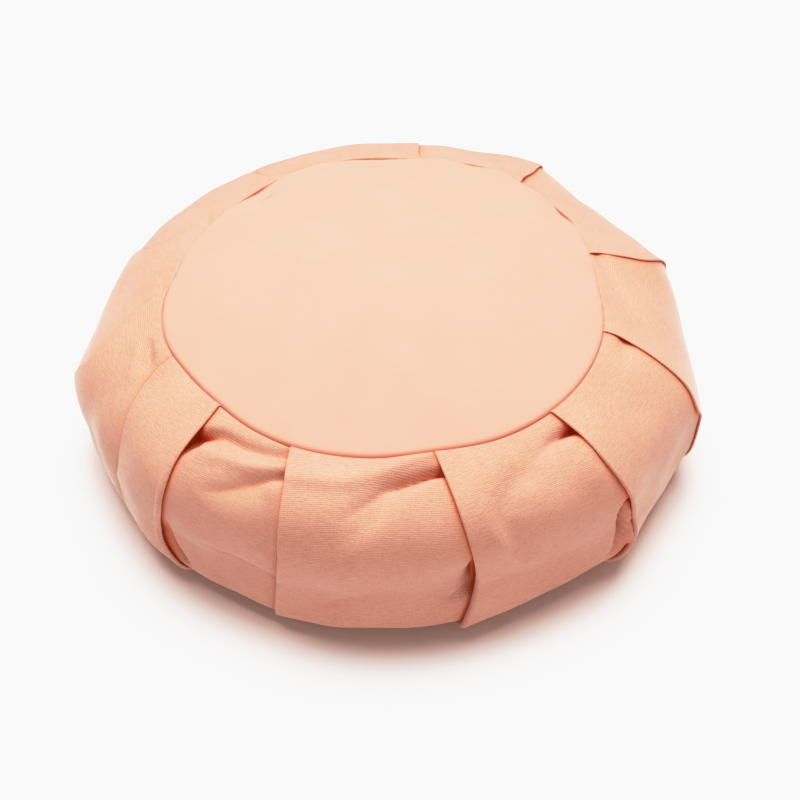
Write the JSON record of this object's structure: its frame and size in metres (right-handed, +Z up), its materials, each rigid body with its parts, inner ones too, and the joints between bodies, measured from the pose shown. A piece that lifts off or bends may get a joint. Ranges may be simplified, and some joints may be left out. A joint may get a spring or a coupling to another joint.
{
  "type": "zafu meditation cushion",
  "caption": "Round, low, firmly filled floor cushion for seated meditation, with a crowned top disc, a flat bottom disc and a knife-pleated side band with a lapped end.",
  "frame": {"origin": "on the surface that the cushion stands on, under the middle of its outline", "axes": "+Z up, through the top disc; -Y towards the viewer, with the band's lapped end at front left; +X to the viewer's right"},
  "size_m": [0.3592, 0.3642, 0.1221],
  "materials": {
    "side_canvas": "matt ribbed cotton canvas, dyed peach",
    "top_canvas": "matt cotton canvas, dyed peach",
    "bottom_canvas": "matt cotton canvas, dyed peach"
  },
  "bodies": {
    "root": {"pleated_band": "side_canvas", "top_panel": "top_canvas", "bottom_panel": "bottom_canvas"}
  },
  "joints": []
}
